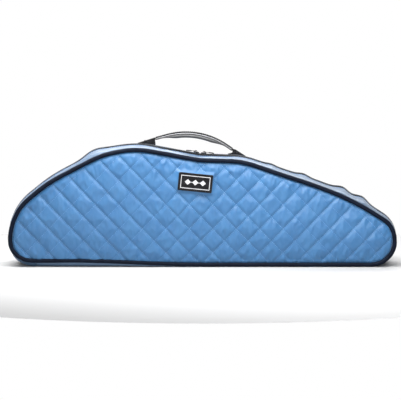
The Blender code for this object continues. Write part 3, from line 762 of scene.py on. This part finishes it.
def gusset_point(k, y, depth, wrinkle=0.0):
    """A point of the gusset's section at station k, depth mm under its outside."""
    x, z = OUTLINE[k, :2]
    wrinkle = wrinkle - zip_dip(x, y)
    nx, nz = NORMALS[k]
    across = min(1.0, abs(y) / SEAM_Y)
    rise = max(0.0, math.cos(across * math.pi / 2.0)) ** 0.6
    out = (-GUSSET_DIP + (ZIP_OUT + GUSSET_DIP) * rise + HUMP_AT[k] * rise + wrinkle) * SHARE[k] - depth
    lift = piping_lift(x, z, math.copysign(1.0, y)) * float(smooth(abs(y), 53.0, 60.5))
    return (x + nx * out, y, max(0.0, z + nz * out) + lift)


def gusset_wrinkle(k, y, seed):
    x, z = OUTLINE[k, :2]
    away = math.sin(math.pi * (y - TAPE_Y) / (GUSSET_EDGE_Y - TAPE_Y))
    swell = noise.noise(Vector((x / 45.0, z / 45.0, seed + y / 60.0)))
    crease = noise.noise(Vector((x / 12.0, z / 12.0, seed + 5.0 + y / 70.0)))
    return away * (2.4 * swell + 1.5 * crease)


def orient_outward(obj):
    """Face normals of an open strip point away from the bag's middle."""
    builder = bmesh.new()
    builder.from_mesh(obj.data)
    bmesh.ops.recalc_face_normals(builder, faces=builder.faces)
    middle = Vector((0.0, 0.0, 0.1))
    score = sum(f.normal.dot(f.calc_center_median() - middle) for f in builder.faces)
    if score < 0.0:
        bmesh.ops.reverse_faces(builder, faces=builder.faces)
    builder.to_mesh(obj.data)
    builder.free()


def strip_shell(name, stations, rows, side, look, thick, depth=0.0, seed=None):
    """A length of the gusset's section as a closed shell."""
    verts = []
    for k in stations:
        for y in rows:
            wrinkle = gusset_wrinkle(k, y, seed) if seed is not None else 0.0
            verts.append(gusset_point(k, side * y, depth, wrinkle))
    obj = mesh_object(name, verts, grid_faces(len(stations), len(rows)), look)
    orient_outward(obj)
    return thicken(obj, thick)


def build_gusset(side, word, body, seed):
    rows = np.linspace(GUSSET_EDGE_Y, TAPE_Y, 19)
    pad = strip_shell("gusset_" + word, STRIP, rows, side, "nylon", 6.5, seed=seed)
    place(pad, body, "plain_nylon", word + "_gusset", word + "_gusset_foam")
    rows = np.linspace(57.0, TAPE_Y + 0.5, 12)
    inner = strip_shell("gusset_lining_" + word + "_cloth", STRIP[::2], rows, side, "lining", 0.8,
                        depth=7.4, seed=seed)
    place(inner, body, "lining", word + "_gusset_lining")
    hem = []
    for y in (TAPE_Y + 1.6, TAPE_Y + 5.0):
        hem.append([(np.array(gusset_point(k, side * y, -0.15, gusset_wrinkle(k, y, seed))),
                     (NORMALS[k, 0], 0.0, NORMALS[k, 1])) for k in ZIPPED])
    place(stitch_mesh("gusset_stitches_" + word, hem, "thread"), body, "plain_nylon")


def build_tongues(side, word, body):
    """Fabric ends of the base that turn up between the corners to the zip's ends."""
    ends = {"right": STRIP[:ZIPPED[0] + 1], "left": STRIP[ZIPPED[-1]:]}
    for end, stations in ends.items():
        tongue = strip_shell("tongue_" + end + "_" + word, stations, np.linspace(TAPE_Y + 1.0, OPEN_GAP, 6),
                             side, "nylon", 2.0, depth=0.6)
        place(tongue, body, "plain_nylon", "base_tongue_" + end + "_" + word)


def build_tape(side, word, body):
    rows = np.linspace(TAPE_Y + 2.5, 2.2, 9)
    tape = strip_shell("zip_tape_" + word + "_woven", ZIPPED, rows, side, "tape", 0.8, depth=0.9)
    place(tape, body, "zip_tape", "zip_tape_" + word)


TOOTH_PITCH = 2.2


def zip_line():
    """Evenly spaced (point, along, out) places on the zip's line, in mm."""
    points = np.array([gusset_point(k, 0.0, 0.0) for k in ZIPPED])
    along = arc_lengths(points)
    places = []
    for at in np.arange(TOOTH_PITCH, along[-1] - TOOTH_PITCH, TOOTH_PITCH / 2.0):
        spot, ahead = point_at(at, along, points), point_at(at + 1.0, along, points)
        run = (ahead - spot) / np.linalg.norm(ahead - spot)
        places.append((spot, run, np.array((run[2], 0.0, -run[0]))))
    return places


def tooth(spot, run, out, side):
    """One nylon tooth: a short bar with a fuller head, from the tape to the middle."""
    verts = []
    for y, half_run, half_out in ((4.6, 0.45, 0.45), (2.6, 0.5, 0.7), (1.1, 0.62, 0.95), (0.2, 0.42, 0.6)):
        for turn in range(6):
            a = math.pi * turn / 3.0
            verts.append(spot + run * half_run * math.cos(a) + out * half_out * math.sin(a)
                         + np.array((0.0, side * y, 0.0)))
    return verts, lofted(4, 6)


def build_teeth(side, word, body):
    first = 0 if side < 0 else 1
    teeth = [tooth(*spot, side) for spot in zip_line()[first::2]]
    coil = join_meshes("zip_teeth_" + word, teeth, "coil")
    place(coil, body, "zip_coil", "zip_coil_" + word)


# ==== base and linings ====
BASE_EDGE_Y = 60.5
BASE_THICK = 1.6
BEAD_START = 52.0
BEAD_OUT = 66.0
BEAD_FADE = 60.0
LINER_INSET = 2.0
LINER_Y = (2.5, 57.0)
LINER_FLOOR = 3.1
CHANNEL_PITCH = 44.0
LINING_Y = 58.4


def build_base():
    """One base fabric across the fold, and a padded liner on either side of it."""
    columns = np.linspace(BASE_LEFT + 0.4, BASE_RIGHT - 0.4, 150)
    bead = np.linspace(BEAD_START, BASE_EDGE_Y, 10)
    rows = np.concatenate([-bead[::-1], np.linspace(-49.0, 49.0, 27), bead])
    verts = []
    for x in columns:
        for y in rows:
            ripple = noise.noise(Vector((x / 40.0, y / 25.0, 4.0)))
            sag = 0.5 + 0.5 * ripple * float(smooth(60.0 - abs(y), 0.0, 15.0))
            turn = 90.0 * min(1.0, max(0.0, (abs(y) - BEAD_START) / (BASE_EDGE_Y - BEAD_START)))
            spread, rise = unit(90.0 - turn)[0], 1.0 - unit(turn)[0]
            full = float(smooth(min(x - BASE_LEFT, BASE_RIGHT - x), 0.0, BEAD_FADE))
            lift = (piping_lift(x, 0.0, math.copysign(1.0, y)) + 0.8) * rise
            reach = BASE_EDGE_Y + (BEAD_OUT - BASE_EDGE_Y) * full
            out = min(abs(y), BEAD_START) + (reach - BEAD_START) * spread
            verts.append((x, math.copysign(out, y), max(0.05, sag) * (1.0 - rise) + lift))
    cloth = mesh_object("base_fabric", verts, grid_faces(len(columns), len(rows)), "nylon")
    orient_outward(cloth)
    thicken(cloth, BASE_THICK)
    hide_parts("base_front", "base_back")
    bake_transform(cloth)
    for side, word, body in HALVES:
        build_liner(side, word, body)


def build_liner(side, word, body):
    """Soft floor pad with a channel sewn every few centimetres."""
    x0, x1 = BASE_LEFT + LINER_INSET, BASE_RIGHT - LINER_INSET
    y0, y1 = LINER_Y
    columns, rows = np.linspace(x0, x1, 230), np.linspace(y0, y1, 19)
    top, low = [], []
    for x in columns:
        for y in rows:
            edge = min(x - x0, x1 - x, y - y0, y1 - y)
            channel = abs(math.sin(math.pi * (x - x0) / CHANNEL_PITCH)) ** 0.5
            rise = float(smooth(edge, -2.0, 9.0)) * (2.6 + 2.0 * channel)
            crumple = 0.3 + 0.3 * noise.noise(Vector((x / 9.0, y / 9.0, side)))
            top.append((x, side * y, LINER_FLOOR + rise + crumple))
            low.append((x, side * y, LINER_FLOOR))
    faces = grid_faces(len(columns), len(rows))
    shut = shell_faces(faces, len(top))
    pad = fix_normals(mesh_object("base_pad_" + word, top + low, shut, "lining"))
    place(pad, body, "lining", "base_foam_" + word, "base_lining_" + word)


def build_lining(side, word, body):
    """The brushed inner face of a panel, rumpled a little inside its rim."""
    loop = inset_loop(11.5)[::3]
    middle = np.array(HUB)
    shares = np.linspace(1.0, 0.04, 24)
    rings = []
    for share in shares:
        ring = []
        for x, z in middle + (loop - middle) * share:
            rumple = 0.5 + 0.5 * noise.noise(Vector((x / 38.0, side, z / 30.0)))
            dip = 0.9 * rumple * float(smooth(1.0 - share, 0.0, 0.08))
            ring.append((x, side * (LINING_Y - dip), z))
        rings.append(ring)
    verts = [p for ring in rings for p in ring]
    faces = grid_faces(len(rings), len(loop), wrap_columns=True)
    faces.append(tuple(range(len(verts) - len(loop), len(verts))))
    cloth = fix_normals(mesh_object("lining_" + word + "_cloth", verts, faces, "lining"))
    thicken(cloth, 0.8, 0.0)
    place(cloth, body, "lining", word + "_lining")
    x, z = loop.T * MM
    area = 0.5 * abs(float(np.sum(x * np.roll(z, -1) - z * np.roll(x, -1))))
    float(np.ptp(x))
    float(np.ptp(z))


# ==== label ====
def label_point(along, across, y):
    spot = LABEL_AT + LABEL_RUN * along + np.array((-LABEL_RUN[1], LABEL_RUN[0])) * across
    return spot[0], -y, spot[1]


def build_label():
    """Woven patch with a raised, stitched border and a recessed face."""
    half_x, half_z = LABEL_SIZE[0] / 2.0, LABEL_SIZE[1] / 2.0
    profile = ((0.4, 72.2), (0.0, 72.8), (0.0, 74.2), (0.3, 74.8), (0.9, 75.1), (2.2, 75.1),
               (2.8, 74.8), (3.0, LABEL_FACE_Y))
    rings = []
    for inset, y in profile:
        ring = []
        for sx, sz, first in ((1, 1, 0), (-1, 1, 90), (-1, -1, 180), (1, -1, 270)):
            radius = max(0.3, LABEL_CORNER - inset)
            for turn in range(0, 91, 15):
                out = unit(first + turn)
                ring.append(label_point(sx * (half_x - inset - radius) + radius * out[0],
                                        sz * (half_z - inset - radius) + radius * out[1], y))
        rings.append(ring)
    patch = sweep("label_patch_woven", rings, "label")
    patch.data.set_sharp_from_angle(angle=math.radians(50.0))
    place(patch, FRONT, "label", "label_patch")
    border = []
    seam_x, seam_z = half_x - LABEL_SEAM, half_z - LABEL_SEAM
    for sx, sz, dx, dz in ((-1, -1, 1, 0), (1, -1, 0, 1), (1, 1, -1, 0), (-1, 1, 0, -1)):
        start = np.array((sx * seam_x, sz * seam_z))
        length = 2.0 * (seam_x if dx else seam_z)
        border.append([(np.array(label_point(*(start + np.array((dx, dz)) * length * t), 75.15)),
                        (0.0, -1.0, 0.0)) for t in np.linspace(0.0, 1.0, 20)])
    place(stitch_mesh("label_stitches", border, "dark_thread", 0.25, 1.8, 2.5), FRONT, "label")
    for name in ("label_frame", "label_diamonds"):
        dress(name, "mark")


def dress(name, look):
    """A better material in a CAD node's slots."""
    obj = frame["nodes"][name]
    for slot in obj.material_slots:
        slot.link = "OBJECT"
        slot.material = MATERIALS[look]


# ==== handle ====
HANDLE_Y = 28.0
HANDLE_START = (-95.0, 256.8)
HANDLE_RISE, HANDLE_FALL = 15.0, 34.0
HANDLE_RADIUS = 150.0
HANDLE_LEFT_RUN, HANDLE_RIGHT_RUN = 23.0, 14.0
HANDLE_WIDTH, HANDLE_END_WIDTH = 22.0, 13.0
# Rolled ends of the webbing: place along the tilt axis from the strap's end, and radius.
SLEEVES = {"left": ((1.5, 3.0), (-0.5, 3.0), (-0.85, 2.8), (-1.0, 2.3)),
           "right": ((-3.5, 3.0), (-0.3, 3.0), (0.0, 2.8), (0.1, 2.3))}
STRAP_THICK, EDGE_THICK, LAYER_GAP = 2.4, 2.4, 0.1
GRIP_THICK, GRIP_END_THICK = 8.6, 2.2
# Where the rivets sit along each foot, as shares of its length.
RIVET_TOWARD = {"left": 0.42, "right": 0.33}
RIVET_STEP = 0.17


def handle_path():
    """Points (x, z, slope, share of full size) along the strap's top, left to right."""
    x, z = HANDLE_START
    rise = unit(HANDLE_RISE)
    points = [(x + rise[0] * t, z + rise[1] * t, HANDLE_RISE)
              for t in np.linspace(0.0, HANDLE_LEFT_RUN, 9)[:-1]]
    x, z = x + rise[0] * HANDLE_LEFT_RUN, z + rise[1] * HANDLE_LEFT_RUN
    up = unit(HANDLE_RISE + 90.0)
    hub = (x - HANDLE_RADIUS * up[0], z - HANDLE_RADIUS * up[1])
    for slope in np.linspace(HANDLE_RISE, -HANDLE_FALL, 60):
        up = unit(slope + 90.0)
        points.append((hub[0] + HANDLE_RADIUS * up[0], hub[1] + HANDLE_RADIUS * up[1], slope))
    x, z, slope = points[-1]
    fall = unit(slope)
    points += [(x + fall[0] * t, z + fall[1] * t, slope)
               for t in np.linspace(0.0, HANDLE_RIGHT_RUN, 10)[1:]]
    left, right = points[0][0], points[-1][0]
    path = []
    for x, z, slope in points:
        end = min(x - left, right - x) / (right - left)
        path.append((x, z, slope, float(smooth(end, 0.056, 0.28))))
    return path


def layer(name, look, top, thick, end_thick, power, narrower=0.0):
    """One rounded layer of the handle, from top mm under the strap's face downwards."""
    rings = []
    for x, z, slope, share in handle_path():
        up = unit(slope + 90.0)
        half = (HANDLE_END_WIDTH + (HANDLE_WIDTH - HANDLE_END_WIDTH) * share) / 2.0 - narrower
        depth = end_thick + (thick - end_thick) * share
        ring = []
        for i in range(24):
            c, s = rounded(15.0 * i, 2.0 / power)
            down = top + 0.5 * depth - 0.5 * depth * s
            ring.append((x - up[0] * down, HANDLE_Y + half * c, z - up[1] * down))
        rings.append(ring)
    return sweep(name, rings, look)


def build_handle():
    strap = layer("handle_webbing", "webbing", 0.0, STRAP_THICK, STRAP_THICK, 6.0)
    place(strap, "handle", "webbing", "handle_strap")
    edge_top = STRAP_THICK + LAYER_GAP
    edge = layer("handle_edge_band", "edge", edge_top, EDGE_THICK, 1.8, 4.0, -0.4)
    place(edge, "handle", "handle_edge", "handle_core")
    grip = layer("handle_padded_grip", "grip", edge_top + EDGE_THICK - 0.6, GRIP_THICK,
                 GRIP_END_THICK, 2.7, 0.3)
    place(grip, "handle", "grip", "handle_grip")
    runs = []
    for side in (-1.0, 1.0):
        run = []
        for x, z, slope, share in handle_path():
            up = unit(slope + 90.0)
            half = (HANDLE_END_WIDTH + (HANDLE_WIDTH - HANDLE_END_WIDTH) * share) / 2.0 - 2.0
            run.append(((x + up[0] * 0.05, HANDLE_Y + side * half, z + up[1] * 0.05),
                        (up[0], 0.0, up[1])))
        runs.append(run)
    place(stitch_mesh("handle_stitches", runs, "dark_thread"), "handle", "webbing")
    build_sleeves()


def build_sleeves():
    """Rolled ends of the webbing, round about the tilt axis, that turn against the feet."""
    joint = JOINTS["handle_tilt"]
    start, run = np.array(joint["pos_m"], float) / MM, np.array(joint["axis"], float)
    up = np.array((-run[2], 0.0, run[0]))
    path = handle_path()
    span = math.hypot(path[-1][0] - path[0][0], path[-1][1] - path[0][1])
    for end, profile in SLEEVES.items():
        at = start + run * (span if end == "right" else 0.0)
        rings = [[at + run * along + radius * (c * up + s * np.array((0.0, 1.0, 0.0)))
                  for c, s in (unit(15.0 * i) for i in range(24))] for along, radius in profile]
        place(sweep("handle_sleeve_" + end, rings, "webbing"), "handle", "webbing")


def build_feet():
    for end in ("left", "right"):
        name = "handle_foot_" + end
        foot = soften("foot_" + end + "_fabric", name, "foot", 1.0, 0.5)
        place(foot, BACK, "foot_fabric", name)
        low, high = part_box(name)
        build_rivets(end, low / MM, high / MM)


def build_rivets(end, low, high):
    """Two small domed rivets on the front face of each foot."""
    pieces = []
    for step in (0.0, RIVET_STEP):
        x = low.x + (high.x - low.x) * (RIVET_TOWARD[end] + step)
        z = low.z + (high.z - low.z) * (0.55 - 0.4 * step)
        verts = []
        for radius, y in ((1.9, 0.1), (1.8, -0.35), (1.2, -0.75)):
            for c, s in (unit(30.0 * i) for i in range(12)):
                verts.append((x + radius * c, low.y + y, z + radius * s))
        pieces.append((verts, lofted(3, 12)))
    rivets = join_meshes("rivets_" + end, pieces, "metal")
    rivets.data.set_sharp_from_angle(angle=math.radians(50.0))
    place(rivets, BACK, "zip_metal")


# ==== zip sliders ====
def slider_axes(word):
    """Hinge point in mm, direction along the zip and direction outwards."""
    run = np.array(JOINTS["slider_" + word + "_travel"]["axis"], float)
    hinge = np.array(JOINTS["pull_" + word + "_swing"]["pos_m"], float) / MM
    out = np.array((-run[2], 0.0, run[0]))
    return hinge, run, out if out[2] > 0.0 else -out


def slider_point(axes, along, across, out):
    hinge, run, up = axes
    return hinge + run * along + up * out + np.array((0.0, across, 0.0))


def build_slider(word):
    """Domed slider body with a round bail."""
    axes = slider_axes(word)
    rings = []
    for inset, level in ((0.5, -3.3), (0.0, -2.9), (0.0, -2.1), (0.5, -1.6), (1.6, -1.25), (3.2, -1.15)):
        ring = []
        for turn in range(0, 360, 12):
            waist = 1.0 - 0.18 * unit(2 * turn)[0] - 0.16 * max(0.0, -unit(turn)[0])
            c, s = rounded(turn, 0.75)
            ring.append(slider_point(axes, (6.0 - inset) * c - 1.0, (4.5 * waist - inset) * s, level))
        rings.append(ring)
    shell = sweep("slider_body_" + word, rings, "metal")
    place(shell, "slider_" + word, "zip_metal", "zip_slider_" + word)
    arch = []
    for c, s in (unit(turn) for turn in np.linspace(-20.0, 200.0, 23)):
        arch.append([slider_point(axes, 2.2 * c + 0.5 * ci * c, 1.25 * si, -0.6 + 1.55 * s + 0.5 * ci * s)
                     for ci, si in (unit(36.0 * i) for i in range(10))])
    place(sweep("slider_bail_" + word, arch, "metal"), "slider_" + word, "zip_metal")


PULL_TURNS, PULL_SIDES = 28, 8
PULL_STEM = ((3.6, 1.7, 0.4), (5.0, 2.3, 0.45), (8.0, 2.1, 0.45), (9.2, 1.9, 0.45))
PULL_DROOP = 7.0
PULL_GRIP = (8.6, 20.5)
RIB_PITCH = 1.7


def pull_eye(spot):
    """The wire ring that hangs on the slider's bail."""
    verts = []
    for c, s in (unit(360.0 * i / PULL_TURNS) for i in range(PULL_TURNS)):
        along, across = 1.85 + 2.1 * c, 2.35 * s
        verts += [spot(along + 0.55 * cj * c, across + 0.55 * cj * s, 0.42 * sj)
                  for cj, sj in (unit(360.0 * j / PULL_SIDES) for j in range(PULL_SIDES))]
    return verts, grid_faces(PULL_TURNS, PULL_SIDES, wrap_rows=True, wrap_columns=True)


def pull_stem(spot):
    """The flat bar from the eye into the grip: place, half width and half thickness."""
    verts = []
    for along, half, thick in PULL_STEM:
        verts += [spot(along, half * c, thick * s) for c, s in (rounded(30.0 * i, 0.5) for i in range(12))]
    return verts, lofted(len(PULL_STEM), 12)


def build_pull(word):
    """Pull plate with an eye, and a ribbed rubber grip."""
    axes = slider_axes(word)
    flat, dip = unit(PULL_DROOP)

    def spot(along, across, out):
        return slider_point(axes, along * flat + out * dip, across, out * flat - along * dip)

    plate = join_meshes("pull_plate_" + word, [pull_eye(spot), pull_stem(spot)], "metal")
    place(plate, "pull_" + word, "zip_metal", "zip_pull_" + word)
    grip = []
    for along in np.linspace(*PULL_GRIP, 40):
        swell = float(smooth(min(along - PULL_GRIP[0], PULL_GRIP[1] - along), -0.6, 1.6))
        size = swell * (1.0 + 0.08 * math.cos(2.0 * math.pi * along / RIB_PITCH))
        grip.append([spot(along, 2.7 * size * c, 1.05 * size * s)
                     for c, s in (rounded(22.5 * i, 0.6) for i in range(16))])
    place(sweep("pull_tab_" + word, grip, "rubber"), "pull_" + word, "rubber", "pull_grip_" + word)


def build_stops():
    for end in ("left", "right"):
        name = "zip_stop_" + end
        place(soften("stop_" + end + "_metal", name, "metal", 0.4), BACK, "zip_metal", name)


# ==== camera, floor and light ====
WALL_TOP, WALL_FADE = 0.1, 0.12
CEILING = 0.3
ROOM = 0.55
FLOOR_RADIUS = 0.8
CAMERA_TARGET = (-0.004, 0.0, 0.1294)
CAMERA_DISTANCE, CAMERA_ELEVATION = 3.0, 4.0
VIEW_WIDTH = 0.814
# Name, place and aim in metres, width and height, and power in watts.
LAMPS = (("overhead", (-0.15, -0.27, 0.66), (0.0, 0.0, 0.12), (1.5, 0.3), 16.0),
         ("front", (-0.3, -3.6, 0.95), (0.0, 0.0, 0.12), (2.4, 0.7), 45.0),
         ("back", (0.2, 0.9, 1.1), (0.0, 0.0, 0.0), (1.8, 0.6), 26.0))


def build_studio(scene):
    """A white wall behind the bag, with a dimmer ceiling and room, so that the lamps model the relief."""
    world = bpy.data.worlds.new("studio")
    world.use_nodes = True
    coords = node(world, "ShaderNodeTexCoord")
    split = node(world, "ShaderNodeSeparateXYZ")
    both = node(world, "ShaderNodeVectorMath", operation="MULTIPLY")
    link(world, coords, "Generated", split, "Vector")
    ramps = (("Z", WALL_TOP, WALL_TOP + WALL_FADE, 1.0, CEILING), ("Y", 0.0, 0.5, ROOM, 1.0))
    for into, (axis, start, end, first, last) in enumerate(ramps):
        ramp = two_stop_ramp(world, start, [first] * 3, end, [last] * 3)
        link(world, split, axis, ramp, "Fac")
        link(world, ramp, "Color", both, into)
    link(world, both, "Vector", world.node_tree.nodes["Background"], "Color")
    scene.world = world


def build_stage():
    scene = bpy.context.scene
    scene.view_settings.view_transform = "Standard"
    build_studio(scene)

    flat, rise = unit(CAMERA_ELEVATION)
    camera_data = bpy.data.cameras.new("camera")
    camera_data.sensor_width = 36.0
    camera_data.lens = camera_data.sensor_width * CAMERA_DISTANCE / VIEW_WIDTH
    camera = bpy.data.objects.new("camera", camera_data)
    camera.location = Vector(CAMERA_TARGET) + CAMERA_DISTANCE * Vector((0.0, -flat, rise))
    camera.rotation_euler = (math.radians(90.0 - CAMERA_ELEVATION), 0.0, 0.0)
    scene.collection.objects.link(camera)
    scene.camera = camera

    mesh = bpy.data.meshes.new("floor")
    edge = [(FLOOR_RADIUS * c, FLOOR_RADIUS * s, 0.0) for c, s in (unit(3.0 * i) for i in range(120))]
    mesh.from_pydata(edge, [], [tuple(range(120))])
    mesh.materials.append(new_material("floor", (0.5, 0.5, 0.5), 0.9))
    floor = bpy.data.objects.new("floor", mesh)
    scene.collection.objects.link(floor)

    for name, spot, aim, size, power in LAMPS:
        data = bpy.data.lights.new(name, "AREA")
        data.shape = "RECTANGLE"
        data.size, data.size_y = size
        data.energy = power
        lamp = bpy.data.objects.new(name, data)
        lamp.location = spot
        lamp.rotation_euler = (Vector(aim) - Vector(spot)).to_track_quat("-Z", "Y").to_euler()
        scene.collection.objects.link(lamp)


build_stage()
build_panel(-1.0, "front", FRONT, PANEL_SEEDS["front"], QUILT_ORIGIN)
build_panel(1.0, "back", BACK, PANEL_SEEDS["back"], BACK_QUILT_ORIGIN)
for half, half_word, half_body in HALVES:
    build_piping(half, half_word, half_body, PANEL_SEEDS[half_word])
    build_gusset(half, half_word, half_body, 20.0 + half)
    build_tongues(half, half_word, half_body)
    build_tape(half, half_word, half_body)
    build_teeth(half, half_word, half_body)
    build_lining(half, half_word, half_body)
build_base()
build_label()
build_handle()
build_feet()
for slider_word in ("left", "right"):
    build_slider(slider_word)
    build_pull(slider_word)
build_stops()
